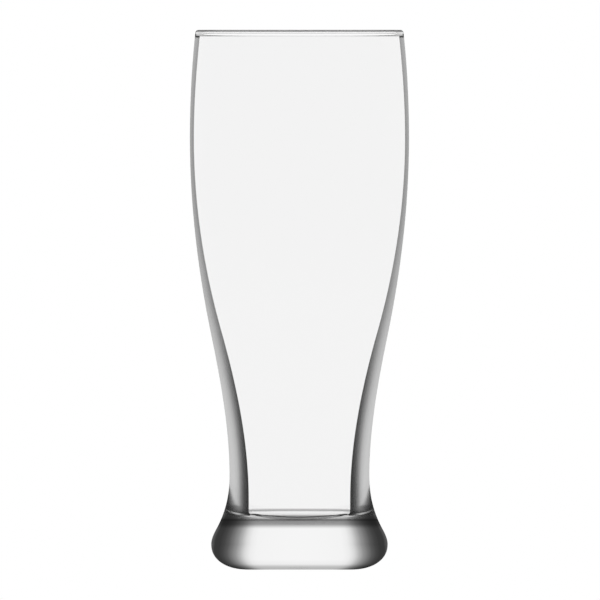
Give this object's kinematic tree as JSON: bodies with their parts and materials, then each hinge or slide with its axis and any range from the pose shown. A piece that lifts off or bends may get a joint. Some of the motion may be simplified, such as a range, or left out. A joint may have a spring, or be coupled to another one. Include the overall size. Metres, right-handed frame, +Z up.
{
  "type": "pilsner glass",
  "caption": "Clear footed pilsner glass: double-curved bowl on a thick flared solid foot, with a fire-polished rim, for holding a cold drink.",
  "frame": {"origin": "centre of the ring that rests on the table, in the table's plane", "axes": "+Z up along the axis of revolution; X and Y are free, because the glass is round"},
  "size_m": [0.0812, 0.0812, 0.2],
  "materials": {
    "clear_glass": "polished, clear and colourless"
  },
  "bodies": {
    "root": {"foot": "clear_glass", "bowl": "clear_glass", "rim_bead": "clear_glass"}
  },
  "joints": []
}
